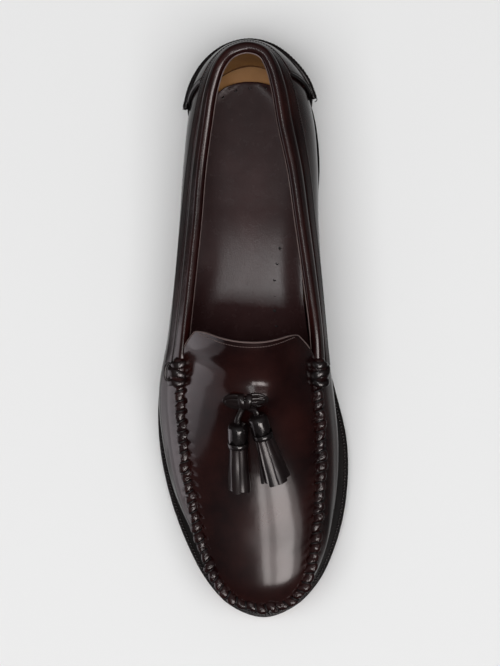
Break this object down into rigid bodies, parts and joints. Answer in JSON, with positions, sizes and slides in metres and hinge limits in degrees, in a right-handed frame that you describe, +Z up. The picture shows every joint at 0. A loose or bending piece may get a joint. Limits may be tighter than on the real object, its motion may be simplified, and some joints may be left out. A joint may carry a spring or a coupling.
{
  "type": "tassel loafer",
  "caption": "Right moc-toe tassel loafer in polished oxblood leather, hollow and open at the collar, on a stitched leather sole with a stacked heel.",
  "frame": {"origin": "centre of the heel's flat underside, on the ground", "axes": "+Y to the toe, +X to the lateral (outer) side, +Z up"},
  "size_m": [0.1008, 0.3017, 0.1],
  "materials": {
    "oxblood_leather": "high-shine polished",
    "black_trim": "polished, thread-wrapped",
    "sole_edge": "waxed black edge",
    "sole_leather": "oiled sole leather with black edge",
    "top_lift_rubber": "satin",
    "sock_leather": "smooth semi-matt"
  },
  "bodies": {
    "root": {"outsole": "sole_leather", "welt": "sole_edge", "insole": "sock_leather", "top_lift": "top_lift_rubber", "heel_lift_1": "sole_edge", "heel_lift_2": "sole_edge", "upper": "oxblood_leather", "collar_band": "oxblood_leather", "counter": "oxblood_leather", "beefroll_lateral": "black_trim", "beefroll_medial": "black_trim", "tassel_bow": "black_trim", "tassel_lateral": "black_trim", "tassel_medial": "black_trim"}
  },
  "joints": []
}
